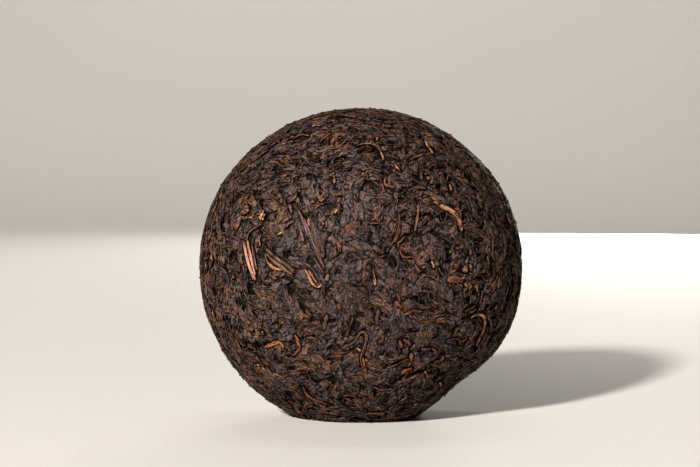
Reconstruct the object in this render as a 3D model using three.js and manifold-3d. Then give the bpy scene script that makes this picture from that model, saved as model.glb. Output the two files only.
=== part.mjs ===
// A tuocha: tea leaves steamed, packed in a cloth and pressed into one hard dome with a hollow under it.
// It stands on its side, on a flattened stretch of its wall, with the top of the dome towards -Y and the
// hollow towards +Y. The origin is on the surface it stands on, under the middle of its bounding box.

import * as THREE from "three";
import { mergeVertices } from "three/addons/utils/BufferGeometryUtils.js";
import Module from "manifold-3d";

// Driving dimensions, in millimetres.
const ACROSS = 105; // widest outside diameter
const DEEP = 61; // from the rim to the top of the dome
const WIDEST_FROM_RIM = 16; // the widest ring lies this far in front of the rim
const NECK_ACROSS = 50; // the hollow's diameter beside the widest ring
const HOLLOW_DEEP = 31; // from the rim to the floor of the hollow
const AXIS_HEIGHT = 48; // from the surface it stands on to the dome's axis

// How full each stretch of the outline is: 2 is an ellipse, and more is squarer.
const DOME_FULLNESS = 2.12;
const LIP_FULLNESS = 2.3;
const HOLLOW_FULLNESS = 2;

// Out of round: one shoulder low on the right is pressed in, and the whole is a little lumpy.
const SHOULDER = { at: -50, halfWidth: 17, depth: 3.3 }; // degrees round the axis, degrees, millimetres
const LUMP = { size: 34, height: 0.5 };
const CRAG = { size: 6.5, height: 0.5 }; // knots of leaf
const NIB = { size: 2.9, height: 0.5 }; // single rolled leaves

// The long pieces that lie on the dome and were pressed into it, as seen from the front: x to the right
// of the axis and z above it, which way they point in degrees from +X towards +Z, and how far they bend.
const LONG_PIECES = [
  { name: "split stem", x: -35.6, z: 4.6, heading: 98, long: 18, wide: 2.6, thick: 1.9, bend: 12 },
  { name: "second stem", x: -27.4, z: 1.6, heading: 136, long: 13.5, wide: 2.4, thick: 1.8, bend: 0 },
  { name: "folded leaf", x: -16.5, z: 7.6, heading: 110, long: 22, wide: 5.6, thick: 1.5, bend: -8 },
  { name: "hooked leaf", x: -20.7, z: -2.2, heading: 130, long: 10, wide: 2.8, thick: 1.7, bend: 25 },
  { name: "long bud", x: 29.2, z: 17.2, heading: 128, long: 13, wide: 2.1, thick: 1.8, bend: -50 },
  { name: "arched bud", x: 3.1, z: 36.6, heading: 150, long: 12, wide: 1.8, thick: 1.7, bend: -95 },
  { name: "right stem", x: 39.0, z: -19.6, heading: 70, long: 13, wide: 1.9, thick: 1.7, bend: 60 },
  { name: "looped bud", x: 1.6, z: -32.3, heading: 96, long: 13, wide: 1.9, thick: 1.7, bend: 70 },
  { name: "pale stem", x: 11.2, z: -32.4, heading: 22, long: 15, wide: 1.4, thick: 1.6, bend: 10 },
  { name: "centre twig", x: 10.6, z: 11.2, heading: 70, long: 11, wide: 1.6, thick: 1.6, bend: -35 },
  { name: "foot bud", x: -11.4, z: -43.2, heading: 155, long: 8, wide: 2, thick: 1.7, bend: 0 },
  { name: "left bud", x: -26.3, z: -24.3, heading: 10, long: 8, wide: 1.8, thick: 1.7, bend: -70 },
];
const SCATTER_SEED = 7;
const SCATTERED = { count: 78, longest: 12, shortest: 6, widest: 2.4, narrowest: 1.5, thick: 1.7 };
const BODY_DETAIL = 13; // subdivisions of each edge of the icosahedron behind the body
const SUNK = 0.1; // how far the middle of a fused piece lies under the body's smooth surface
const ROOTED = 2.2; // and how far its underside goes down from there, past every dip in the relief
const OUTLINE_STEPS = 160; // points on each stretch of the outline

const RADIUS = ACROSS / 2;
const NECK_RADIUS = NECK_ACROSS / 2;
const LIP_MIDDLE = (RADIUS + NECK_RADIUS) / 2;
const LIP_HALF = (RADIUS - NECK_RADIUS) / 2;
const RIM_Y = DEEP / 2;
const RIGHT_ANGLE = Math.PI / 2;

// One point of a superellipse, as [along its first axis, along its second], each from -1 to 1.
function superellipse(angle, fullness) {
  const soften = (value) => Math.sign(value) * Math.abs(value) ** (2 / fullness);
  return [soften(Math.sin(angle)), soften(Math.cos(angle))];
}

// The outline from the top of the dome round the lip to the floor of the hollow: radius, distance in front
// of the rim, and round, which is 1 on the outside and falls to 0 in the hollow.
function makeOutline() {
  const points = [];
  const add = (r, s, round) => points.push({ r: Math.max(r, 0), s, round });
  for (let i = 0; i < OUTLINE_STEPS; i++) {
    const [out, up] = superellipse((RIGHT_ANGLE * i) / OUTLINE_STEPS, DOME_FULLNESS);
    add(RADIUS * out, WIDEST_FROM_RIM + (DEEP - WIDEST_FROM_RIM) * Math.max(up, 0), 1);
  }
  for (let i = 0; i < OUTLINE_STEPS; i++) {
    const [down, out] = superellipse((2 * RIGHT_ANGLE * i) / OUTLINE_STEPS, LIP_FULLNESS);
    const round = THREE.MathUtils.smoothstep(out, -1, 0.5);
    add(LIP_MIDDLE + LIP_HALF * out, WIDEST_FROM_RIM * (1 - down), round);
  }
  for (let i = 0; i <= OUTLINE_STEPS; i++) {
    const [up, out] = superellipse((RIGHT_ANGLE * i) / OUTLINE_STEPS, HOLLOW_FULLNESS);
    add(NECK_RADIUS * Math.max(out, 0), WIDEST_FROM_RIM + (HOLLOW_DEEP - WIDEST_FROM_RIM) * up, 0);
  }
  points[0].r = 0;
  points[points.length - 1].r = 0;

  // The area swept so far, and each point's outward direction in the plane of the outline.
  let area = 0;
  points.forEach((point, i) => {
    const before = points[Math.max(i - 1, 0)];
    const after = points[Math.min(i + 1, points.length - 1)];
    area += Math.hypot(point.r - before.r, point.s - before.s) * (point.r + before.r);
    point.area = area;
    const length = Math.hypot(after.r - before.r, after.s - before.s);
    point.outR = (before.s - after.s) / length;
    point.outS = (after.r - before.r) / length;
  });
  return points;
}

const outline = makeOutline();
const totalArea = outline[outline.length - 1].area;

// How much the ring at this angle round the axis is pressed in, as a share of its radius.
function pressedIn(angle, round) {
  const apart = THREE.MathUtils.radToDeg(angle) - SHOULDER.at;
  return (round * SHOULDER.depth * Math.exp(-((apart / SHOULDER.halfWidth) ** 2))) / RADIUS;
}

// The place and the outward normal on the smooth body for one outline point and an angle round the axis.
function placeOn({ r, s, round, outR, outS }, angle) {
  const radius = r * (1 - pressedIn(angle, round));
  const [across, up] = [Math.cos(angle), Math.sin(angle)];
  return {
    position: new THREE.Vector3(radius * across, RIM_Y - s, AXIS_HEIGHT + radius * up),
    normal: new THREE.Vector3(outR * across, -outS, outR * up),
  };
}

// A direction from the middle of a ball, spread over the body so that equal areas stay equal.
function onBodyAt(direction) {
  const wanted = (totalArea * (1 + direction.y)) / 2;
  const found = outline.findIndex((point) => point.area >= wanted);
  const [low, high] = [outline[Math.max(found - 1, 0)], outline[Math.max(found, 0)]];
  const share = high.area > low.area ? (wanted - low.area) / (high.area - low.area) : 0;
  const between = {};
  for (const key of ["r", "s", "round", "outR", "outS"]) {
    between[key] = THREE.MathUtils.lerp(low[key], high[key], share);
  }
  return placeOn(between, Math.atan2(direction.z, direction.x));
}

// The nearest place on the smooth body to a point close to it.
function nearestOnBody(point) {
  const angle = Math.atan2(point.z - AXIS_HEIGHT, point.x);
  const radius = Math.hypot(point.x, point.z - AXIS_HEIGHT);
  const s = RIM_Y - point.y;
  let best = outline[0];
  let least = Infinity;
  for (const candidate of outline) {
    const distance = (candidate.r - radius) ** 2 + (candidate.s - s) ** 2;
    if (distance < least) [best, least] = [candidate, distance];
  }
  return placeOn(best, angle);
}

// Smooth noise from -1 to 1, with bumps about as far apart as size.
function lattice(x, y, z) {
  const wave = Math.sin(x * 127.1 + y * 311.7 + z * 74.7) * 43758.5453;
  return 2 * (wave - Math.floor(wave)) - 1;
}

function noise(point, size) {
  const scaled = point.clone().divideScalar(size);
  const corner = scaled.clone().floor();
  const part = scaled.clone().sub(corner);
  const ease = (value) => value * value * (3 - 2 * value);
  let sum = 0;
  for (const i of [0, 1]) {
    for (const j of [0, 1]) {
      for (const k of [0, 1]) {
        const weight =
          (i ? ease(part.x) : 1 - ease(part.x)) *
          (j ? ease(part.y) : 1 - ease(part.y)) *
          (k ? ease(part.z) : 1 - ease(part.z));
        sum += weight * lattice(corner.x + i, corner.y + j, corner.z + k);
      }
    }
  }
  return sum;
}

// How far the leaf stands out of the smooth body here.
function relief(point) {
  return [LUMP, CRAG, NIB].reduce((sum, { size, height }) => sum + height * noise(point, size), 0);
}

// The same numbers between 0 and 1 on every run.
function makeRandom(seed) {
  let state = seed;
  return () => {
    state = (state + 0x6d2b79f5) | 0;
    let mixed = Math.imul(state ^ (state >>> 15), 1 | state);
    mixed = (mixed + Math.imul(mixed ^ (mixed >>> 7), 61 | mixed)) ^ mixed;
    return ((mixed ^ (mixed >>> 14)) >>> 0) / 2 ** 32;
  };
}

const wasm = await Module();
wasm.setup();

// A closed three.js geometry as a solid that can be joined and cut.
function toSolid(geometry) {
  const merged = onlyPlaces(geometry);
  return new wasm.Manifold(
    new wasm.Mesh({
      numProp: 3,
      vertProperties: merged.attributes.position.array,
      triVerts: new Uint32Array(merged.index.array),
    }),
  );
}

function toGeometry(solid) {
  const { vertProperties, triVerts } = solid.getMesh();
  const geometry = new THREE.BufferGeometry();
  geometry.setAttribute("position", new THREE.BufferAttribute(vertProperties, 3));
  geometry.setIndex(new THREE.BufferAttribute(triVerts, 1));
  geometry.computeVertexNormals();
  return geometry;
}

function onlyPlaces(geometry) {
  geometry.deleteAttribute("normal");
  geometry.deleteAttribute("uv");
  return mergeVertices(geometry, 1e-4);
}

// Moves every vertex of a geometry to where the function puts it.
function reshape(geometry, move) {
  const places = geometry.attributes.position;
  const point = new THREE.Vector3();
  for (let i = 0; i < places.count; i++) {
    point.fromBufferAttribute(places, i);
    places.setXYZ(i, ...move(point).toArray());
  }
  return geometry;
}

// The pressed body, with the relief of its leaves.
function makeBody() {
  const ball = onlyPlaces(new THREE.IcosahedronGeometry(1, BODY_DETAIL));
  const shaped = reshape(ball, (direction) => {
    const { position, normal } = onBodyAt(direction.normalize());
    return position.addScaledVector(normal, relief(position));
  });
  return toSolid(shaped);
}

// One rolled leaf, bud or stem: a long ball that tapers to both ends, laid along the body in a bend.
function makePiece(place, heading, { long, wide, thick, bend }, lengthSteps = 5) {
  const along = heading.clone().addScaledVector(place.normal, -heading.dot(place.normal)).normalize();
  const across = along.clone().cross(place.normal);
  const turn = THREE.MathUtils.degToRad(bend);
  const rolled = new THREE.SphereGeometry(1, 5, lengthSteps);
  return toSolid(
    reshape(rolled, (point) => {
      const angle = (turn * point.y) / 2;
      const forward = (long / 2) * point.y * (turn ? Math.sin(angle) / angle || 1 : 1);
      const sideways = (long / 2) * point.y * Math.sin(angle / 2) + (wide / 2) * point.x;
      const near = place.position.clone().addScaledVector(along, forward).addScaledVector(across, sideways);
      const foot = nearestOnBody(near);
      const height = (point.z > 0 ? thick / 2 : ROOTED) * point.z - SUNK;
      return foot.position.addScaledVector(foot.normal, height);
    }),
  );
}

// The long pieces seen from the front, each at its own place on the dome.
function makeLongPieces() {
  return LONG_PIECES.map((piece) => {
    const angle = Math.atan2(piece.z, piece.x);
    const radius = Math.hypot(piece.x, piece.z);
    const ring = outline.slice(0, OUTLINE_STEPS).find((point) => point.r >= radius);
    const turned = THREE.MathUtils.degToRad(piece.heading);
    const heading = new THREE.Vector3(Math.cos(turned), 0, Math.sin(turned));
    return makePiece(placeOn(ring, angle), heading, piece, 7);
  });
}

// More leaves spread evenly over the whole body along a spiral, the largest first.
function makeScatteredPieces() {
  const random = makeRandom(SCATTER_SEED);
  const goldenAngle = Math.PI * (3 - Math.sqrt(5));
  const order = Array.from({ length: SCATTERED.count }, (_, i) => i);
  return order.map((i) => {
    const shrink = ((i * 37) % SCATTERED.count) / SCATTERED.count;
    const level = 1 - (2 * (i + 0.5)) / SCATTERED.count;
    const turn = i * goldenAngle;
    const side = Math.sqrt(1 - level * level);
    const place = onBodyAt(new THREE.Vector3(side * Math.cos(turn), level, side * Math.sin(turn)));
    const heading = new THREE.Vector3(random() - 0.5, random() - 0.5, random() - 0.5);
    return makePiece(place, heading, {
      long: THREE.MathUtils.lerp(SCATTERED.longest, SCATTERED.shortest, shrink),
      wide: THREE.MathUtils.lerp(SCATTERED.widest, SCATTERED.narrowest, random()),
      thick: SCATTERED.thick,
      bend: 120 * (random() - 0.5),
    });
  });
}

// Cuts off what lies lower than the surface that the tuocha stands on.
function standFlat(solid) {
  const under = new THREE.BoxGeometry(2 * ACROSS, 2 * DEEP, DEEP).translate(0, 0, -DEEP / 2);
  return solid.subtract(toSolid(under));
}

const pieces = [...makeLongPieces(), ...makeScatteredPieces()];
const joined = wasm.Manifold.union([makeBody(), ...pieces]);
const whole = standFlat(joined);

const tea = new THREE.MeshStandardMaterial({ color: 0x3f322c, roughness: 0.75, metalness: 0 });
const tuocha = new THREE.Mesh(toGeometry(whole), tea);
tuocha.name = "tuocha";

const part = new THREE.Group();
part.add(tuocha);

export default part;
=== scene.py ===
import math

import bmesh
import bpy
import numpy as np
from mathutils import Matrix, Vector


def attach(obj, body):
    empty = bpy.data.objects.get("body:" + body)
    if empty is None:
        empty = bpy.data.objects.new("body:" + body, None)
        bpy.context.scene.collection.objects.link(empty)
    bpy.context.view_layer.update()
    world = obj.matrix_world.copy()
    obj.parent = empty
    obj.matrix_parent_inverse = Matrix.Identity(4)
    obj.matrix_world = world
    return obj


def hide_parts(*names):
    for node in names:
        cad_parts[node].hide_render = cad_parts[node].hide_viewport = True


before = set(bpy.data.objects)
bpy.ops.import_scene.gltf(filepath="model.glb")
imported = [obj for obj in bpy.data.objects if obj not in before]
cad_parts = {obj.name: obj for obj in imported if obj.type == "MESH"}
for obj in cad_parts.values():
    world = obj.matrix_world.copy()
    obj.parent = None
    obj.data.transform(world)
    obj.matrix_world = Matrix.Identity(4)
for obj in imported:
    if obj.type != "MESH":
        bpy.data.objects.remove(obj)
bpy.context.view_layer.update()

# ---------------------------------------------------------------------------------------------------
# The studio: a camera low in front of the dome and a pale floor that curves up into a backdrop. One lamp
# stands in front on the left, a weaker one behind on the right, and one lights the backdrop.

MM = 0.001
PHOTO_WIDTH, PHOTO_HEIGHT = 700, 467  # pixels
FOCAL_PIXELS = 1890
HORIZON_ROW = 150  # the row that is level with the camera
MIDDLE_COLUMN = 361  # the column the dome's axis is seen in
CAMERA_DISTANCE = 600 * MM
CAMERA_HEIGHT = 86.4 * MM
SENSOR_WIDTH = 36

pitch_down = math.atan((PHOTO_HEIGHT / 2 - HORIZON_ROW) / FOCAL_PIXELS)
turn_left = math.atan((MIDDLE_COLUMN - PHOTO_WIDTH / 2) / FOCAL_PIXELS)
camera_data = bpy.data.cameras.new("photo_camera")
camera_data.sensor_width = SENSOR_WIDTH
camera_data.lens = SENSOR_WIDTH * FOCAL_PIXELS / PHOTO_WIDTH
camera_data.clip_start = 10 * MM
camera_data.clip_end = 20
camera = bpy.data.objects.new("photo_camera", camera_data)
camera.location = (0, -CAMERA_DISTANCE, CAMERA_HEIGHT)
camera.rotation_euler = (math.pi / 2 - pitch_down, 0, turn_left)
bpy.context.scene.collection.objects.link(camera)
bpy.context.scene.camera = camera
bpy.context.scene.view_settings.view_transform = "Standard"


def feed(node, numbered=(), **named):
    """Sets a node's inputs, by number or by name, to values or joins them to other nodes' outputs."""
    for key, value in {**dict(numbered), **named}.items():
        socket = node.inputs[key.replace("_", " ") if isinstance(key, str) else key]
        if isinstance(value, bpy.types.NodeSocket):
            node.id_data.links.new(value, socket)
        else:
            socket.default_value = value
    return node


def add_node(tree, kind, numbered=(), settings=(), **named):
    node = tree.nodes.new("ShaderNode" + kind)
    for key, value in dict(settings).items():
        setattr(node, key, value)
    return feed(node, numbered, **named)


def add_lamp(name, place, aim, size, watts, colour):
    data = bpy.data.lights.new(name, "AREA")
    data.shape = "DISK"
    data.size = size
    data.energy = watts
    data.color = colour
    lamp = bpy.data.objects.new(name, data)
    lamp.location = place
    lamp.rotation_euler = (Vector(aim) - Vector(place)).to_track_quat("-Z", "Y").to_euler()
    lamp.visible_camera = False
    bpy.context.scene.collection.objects.link(lamp)


MIDDLE = (0, 0, 0.05)
add_lamp("key_lamp", (-0.79, -1.52, 0.85), MIDDLE, size=0.17, watts=85.0, colour=(1, 0.955, 0.905))
add_lamp("fill_lamp", (0.35, 1.3, 0.24), MIDDLE, size=0.5, watts=7.0, colour=(1, 0.95, 0.9))
add_lamp("backdrop_lamp", (0, 0.5, 1.3), (0, 2.2, 0.3), size=1.0, watts=12.0, colour=(1, 0.98, 0.96))

world = bpy.data.worlds.new("studio")
world.use_nodes = True
air = world.node_tree
lights_up = feed(air.nodes["Background"], Color=(0.9, 0.93, 1, 1), Strength=0.03)
is_seen = add_node(air, "Background", Color=(0.72, 0.70, 0.67, 1))
by_camera = add_node(air, "LightPath").outputs["Is Camera Ray"]
both = add_node(air, "MixShader", {0: by_camera, 1: lights_up.outputs[0], 2: is_seen.outputs[0]})
feed(air.nodes["World Output"], Surface=both.outputs[0])
bpy.context.scene.world = world

FLOOR_HALF, FLOOR_FRONT, SWEEP_START, SWEEP_RADIUS, BACKDROP_TOP = 1.5, -3.0, 1.4, 0.8, 2.6  # metres
SWEEP_STEPS = 16
floor_line = [(FLOOR_FRONT, 0.0), (SWEEP_START, 0.0)]
for step in range(1, SWEEP_STEPS + 1):
    angle = math.pi / 2 * step / SWEEP_STEPS
    forward, up = math.sin(angle), 1 - math.cos(angle)
    floor_line.append((SWEEP_START + SWEEP_RADIUS * forward, SWEEP_RADIUS * up))
floor_line.append((SWEEP_START + SWEEP_RADIUS, BACKDROP_TOP))
floor_mesh = bpy.data.meshes.new("floor")
floor_mesh.from_pydata(
    [(x, y, z) for y, z in floor_line for x in (-FLOOR_HALF, FLOOR_HALF)],
    [],
    [(2 * i, 2 * i + 1, 2 * i + 3, 2 * i + 2) for i in range(len(floor_line) - 1)],
)
floor_mesh.polygons.foreach_set("use_smooth", [True] * len(floor_mesh.polygons))
floor = bpy.data.objects.new("floor", floor_mesh)
bpy.context.scene.collection.objects.link(floor)

paper = bpy.data.materials.new("pale_paper")
paper.use_nodes = True
paper_grain = add_node(paper.node_tree, "TexNoise", Scale=6)
paper_tint = add_node(paper.node_tree, "ValToRGB", Fac=paper_grain.outputs["Fac"])
paper_tint.color_ramp.elements[0].color = (0.60, 0.58, 0.55, 1)
paper_tint.color_ramp.elements[1].color = (0.63, 0.61, 0.58, 1)
feed(paper.node_tree.nodes["Principled BSDF"], Base_Color=paper_tint.outputs["Color"], Roughness=0.8)
floor_mesh.materials.append(paper)

# ---------------------------------------------------------------------------------------------------
# The pressed body: fine broken leaf and tea dust packed hard in a cloth, dark brown and crumbly. It shows
# only in the gaps between the leaves that lie on it, where it is painted near black as their shade, and it
# carries them all.

# The same sizes as the solid's, in millimetres.
ACROSS = 105.0
DEEP = 61.0  # from the rim to the top of the dome
WIDEST_FROM_RIM = 16.0
NECK_ACROSS = 50.0
HOLLOW_DEEP = 31.0
AXIS_HEIGHT = 48.0
DOME_FULLNESS, LIP_FULLNESS, HOLLOW_FULLNESS = 2.12, 2.3, 2.0  # 2 is an ellipse, and more is squarer
SHOULDER_AT, SHOULDER_HALF_WIDTH, SHOULDER_DEPTH = -50.0, 17.0, 3.3  # degrees, degrees, millimetres
LUMP_SIZE, LUMP_HEIGHT = 34.0, 0.5
DENT_SIZE, DENT_HEIGHT = 5.0, 0.22
RIM_Y = DEEP / 2
QUARTER_STEPS, OUTLINE_STEPS = 400, 900  # points on a quarter turn, and on the whole outline
ENVELOPE = 0.1  # the tops of the leaves end this far above the smooth body, at the wall of the press
CORE_SUNK = 0.95  # how far the crumbly body lies under the smooth body
FOOT_SOFTNESS = 0.12  # how gradually the leaves flatten where they meet the floor
CHUNK, SPARSE = 4000, 3  # points looked up at a time, and every which point of the outline is tried
OTHER_NOISE = 90  # millimetres between two places whose noise has nothing in common


def unit(vectors):
    return vectors / np.linalg.norm(vectors, axis=-1, keepdims=True)


def round_axis(points):
    """Distance from the dome's axis, and the angle round it."""
    x, z = points[:, 0], points[:, 2] - AXIS_HEIGHT
    return np.hypot(x, z), np.arctan2(z, x)


def superellipse(angle, fullness):
    def soften(value):
        return np.sign(value) * np.abs(value) ** (2 / fullness)

    return soften(np.sin(angle)), soften(np.cos(angle))


def make_outline():
    """Radius, distance in front of the rim, and roundness, from the dome's top to the hollow's floor."""
    quarter = np.linspace(0, math.pi / 2, QUARTER_STEPS)
    half = np.linspace(0, math.pi, 2 * QUARTER_STEPS)
    radius, neck = ACROSS / 2, NECK_ACROSS / 2
    out, up = superellipse(quarter, DOME_FULLNESS)
    dome = [radius * out, WIDEST_FROM_RIM + (DEEP - WIDEST_FROM_RIM) * up, np.ones(QUARTER_STEPS)]
    down, out = superellipse(half, LIP_FULLNESS)
    share = np.clip((out + 1) / 1.5, 0, 1)
    lip = [
        (radius + neck) / 2 + (radius - neck) / 2 * out,
        WIDEST_FROM_RIM * (1 - down),
        share * share * (3 - 2 * share),
    ]
    up, out = superellipse(quarter, HOLLOW_FULLNESS)
    hollow = [neck * out, WIDEST_FROM_RIM + (HOLLOW_DEEP - WIDEST_FROM_RIM) * up, np.zeros(QUARTER_STEPS)]
    line = np.concatenate([np.array(dome)[:, :-1], np.array(lip)[:, :-1], np.array(hollow)], axis=1)
    line[0] = np.maximum(line[0], 0)
    length = np.concatenate([[0], np.cumsum(np.hypot(np.diff(line[0]), np.diff(line[1])))])
    even = np.linspace(0, length[-1], OUTLINE_STEPS)
    return np.array([np.interp(even, length, row) for row in line])


OUT_R, OUT_S, OUT_ROUND = make_outline()
slope_r, slope_s = np.gradient(OUT_R), np.gradient(OUT_S)
slope = np.hypot(slope_r, slope_s)
OUT_NORMAL_R, OUT_NORMAL_S = -slope_s / slope, slope_r / slope
OUT_AREA = np.cumsum(np.hypot(np.diff(OUT_R), np.diff(OUT_S)) * (OUT_R[1:] + OUT_R[:-1]))
OUT_AREA = np.concatenate([[0], OUT_AREA])
OUT_AREA /= OUT_AREA[-1]


def lattice(x, y, z):
    """A value from -1 to 1 that looks random, the same each time for the same whole numbers."""
    wave = np.sin(x * 127.1 + y * 311.7 + z * 74.7) * 43758.5453
    return 2 * (wave - np.floor(wave)) - 1


def noise(points, size):
    """Smooth noise from -1 to 1 with bumps about size apart."""
    scaled = points / size
    corner = np.floor(scaled)
    part = scaled - corner
    ease = part * part * (3 - 2 * part)
    total = np.zeros(points.shape[:-1])
    for i in (0, 1):
        for j in (0, 1):
            for k in (0, 1):
                weight = np.ones(points.shape[:-1])
                for axis, side in enumerate((i, j, k)):
                    weight = weight * (ease[..., axis] if side else 1 - ease[..., axis])
                total += weight * lattice(corner[..., 0] + i, corner[..., 1] + j, corner[..., 2] + k)
    return total


def pressed_in(angle):
    apart = (np.degrees(angle) - SHOULDER_AT) / SHOULDER_HALF_WIDTH
    return SHOULDER_DEPTH * np.exp(-apart * apart) / (ACROSS / 2)


def on_outline(index, angle):
    """Place and outward normal on the smooth body, from a place on the outline and an angle."""
    steps = np.arange(len(OUT_R))
    r, s, roundness, out_r, out_s = (
        np.interp(index, steps, row) for row in (OUT_R, OUT_S, OUT_ROUND, OUT_NORMAL_R, OUT_NORMAL_S)
    )
    r = r * (1 - roundness * pressed_in(angle))
    across, up = np.cos(angle), np.sin(angle)
    place = np.stack([r * across, RIM_Y - s, AXIS_HEIGHT + r * up], axis=-1)
    normal = np.stack([out_r * across, -out_s, out_r * up], axis=-1)
    return place, unit(normal)


def by_direction(directions):
    """Places spread over the body so that equal areas of a ball stay equal."""
    index = np.interp((1 + directions[..., 1]) / 2, OUT_AREA, np.arange(len(OUT_R)))
    return on_outline(index, np.arctan2(directions[..., 2], directions[..., 0]))


def nearest(points):
    """The nearest places on the smooth body to points close to it."""
    flat = points.reshape(-1, 3)
    r, angle = round_axis(flat)
    s = RIM_Y - flat[:, 1]
    step = np.full(len(flat), -1)
    for turn in range(2):
        if turn:
            r = r / (1 - OUT_ROUND[step] * pressed_in(angle))
        for low in range(0, len(flat), CHUNK):
            part = slice(low, low + CHUNK)
            away_r = r[part, None] - OUT_R[None, ::SPARSE]
            away_s = s[part, None] - OUT_S[None, ::SPARSE]
            step[part] = SPARSE * np.argmin(away_r * away_r + away_s * away_s, axis=1)
    step = np.clip(step, 1, len(OUT_R) - 2)
    along_r, along_s = OUT_R[step + 1] - OUT_R[step], OUT_S[step + 1] - OUT_S[step]
    share = ((r - OUT_R[step]) * along_r + (s - OUT_S[step]) * along_s) / (along_r**2 + along_s**2)
    place, normal = on_outline(np.clip(step + share, 0, len(OUT_R) - 1), angle)
    return place.reshape(points.shape), normal.reshape(points.shape)


def lump(points):
    return LUMP_HEIGHT * noise(points, LUMP_SIZE) + DENT_HEIGHT * noise(points + OTHER_NOISE, DENT_SIZE)


def stand(points):
    """Presses what would be lower than the floor flat onto it."""
    z = points[..., 2]
    soft = FOOT_SOFTNESS * np.logaddexp(0, z / FOOT_SOFTNESS)
    return np.concatenate([points[..., :2], soft[..., None]], axis=-1)


laid = []  # every piece's mesh and faces, its points carried up to the wall of the press, and lie


def make_piece(name, points, polygons, material, carried, lie, leaf=None):
    """A mesh from points in millimetres and lists of triangles and quads, fixed to the body.

    lie is how far along and across its piece a point is, and how deep below the wall of the press.
    """
    mesh = bpy.data.meshes.new(name)
    mesh.vertices.add(len(points))
    mesh.vertices.foreach_set("co", (points * MM).astype(np.float32).ravel())
    corners = np.concatenate([faces.ravel() for faces in polygons])
    sizes = np.concatenate([np.full(len(faces), faces.shape[1]) for faces in polygons])
    mesh.loops.add(len(corners))
    mesh.loops.foreach_set("vertex_index", corners.astype(np.int32))
    mesh.polygons.add(len(sizes))
    mesh.polygons.foreach_set("loop_start", (np.cumsum(sizes) - sizes).astype(np.int32))
    mesh.update(calc_edges=True)
    mesh.polygons.foreach_set("use_smooth", [True] * len(sizes))
    for label, values in (("lie", lie), ("leaf", leaf)):
        if values is not None:
            layer = mesh.attributes.new(label, "FLOAT_VECTOR", "POINT")
            layer.data.foreach_set("vector", values.astype(np.float32).ravel())
    laid.append((mesh, polygons, carried, lie))
    mesh.materials.append(material)
    piece = bpy.data.objects.new(name, mesh)
    bpy.context.scene.collection.objects.link(piece)
    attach(piece, "root")
    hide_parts("tuocha")


def tree_of(values):
    return next(value.id_data for value in values if isinstance(value, bpy.types.NodeSocket))


def maths(operation, *values, clamp=False):
    settings = {"operation": operation, "use_clamp": clamp}
    return add_node(tree_of(values), "Math", enumerate(values), settings).outputs[0]


def times(first, second, clamp=False):
    return maths("MULTIPLY", first, second, clamp=clamp)


def minus(first, second):
    return maths("SUBTRACT", first, second)


def scaled(value, by, plus=0.0, clamp=False):
    return maths("MULTIPLY_ADD", value, by, plus, clamp=clamp)


def mix_colours(factor, first, second, blend="MIX"):
    inputs = {0: factor, 6: first, 7: second}
    settings = {"data_type": "RGBA", "blend_type": blend}
    return add_node(tree_of(inputs.values()), "Mix", inputs, settings).outputs[2]


def parts_of(value, kind="SeparateXYZ"):
    return add_node(value.id_data, kind, {0: value}).outputs


def noise_on(place, scale, detail, roughness=0.5, distortion=0.0):
    """A noise texture's value and its colour."""
    return add_node(
        place.id_data, "TexNoise",
        Vector=place, Scale=scale, Detail=detail, Roughness=roughness, Distortion=distortion,
    ).outputs


def cells_on(place, scale, feature="F1"):
    return add_node(place.id_data, "TexVoronoi", {}, {"feature": feature}, Vector=place, Scale=scale).outputs


def shaken(place, scale, amount):
    """The place moved about by noise, so that what is drawn there winds."""
    away = noise_on(place, scale, 3.0, 0.7)[1]
    steps = {"SUBTRACT": {1: (0.5, 0.5, 0.5)}, "SCALE": {"Scale": amount}, "ADD": {1: place}}
    for step, second in steps.items():
        away = add_node(place.id_data, "VectorMath", {0: away, **second}, {"operation": step}).outputs[0]
    return away


def new_group(name, inputs, outputs):
    """A node group with named sockets. A starting value of four numbers makes a colour."""
    group = bpy.data.node_groups.new(name, "ShaderNodeTree")
    for way, sockets in (("INPUT", inputs), ("OUTPUT", outputs)):
        for label, value in sockets.items():
            kind = "NodeSocketFloat" if isinstance(value, float) else "NodeSocketColor"
            group.interface.new_socket(label, in_out=way, socket_type=kind).default_value = value
    return group, group.nodes.new("NodeGroupInput").outputs, group.nodes.new("NodeGroupOutput")


def linear(red, green, blue):
    """A linear colour from 0-255 values as a picture shows them."""
    def one(value):
        value = value / 255
        return value / 12.92 if value <= 0.04045 else ((value + 0.055) / 1.055) ** 2.4

    return (one(red), one(green), one(blue), 1.0)


WRINKLE_SIZE, WRINKLE_HEIGHT = 3.4, 0.22
CRUMB_SIZE, CRUMB_HEIGHT = 1.5, 0.24
sphere = bmesh.new()
bmesh.ops.create_icosphere(sphere, subdivisions=6, radius=1)
sphere.verts.ensure_lookup_table()
directions = unit(np.array([vert.co[:] for vert in sphere.verts]))
core_faces = np.array([[vert.index for vert in face.verts] for face in sphere.faces])
sphere.free()
core_place, core_normal = by_direction(directions)
crumbs = WRINKLE_HEIGHT * noise(core_place, WRINKLE_SIZE) + CRUMB_HEIGHT * noise(core_place, CRUMB_SIZE)
core_height = lump(core_place) - CORE_SUNK + crumbs
core_points = stand(core_place + core_normal * core_height[:, None])
core_carried = core_points + core_normal * (lump(core_place) + ENVELOPE - core_height)[:, None]
core_lie = np.zeros((len(core_points), 3))
core_lie[:, 2] = ENVELOPE + lump(core_place) - core_height
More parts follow.
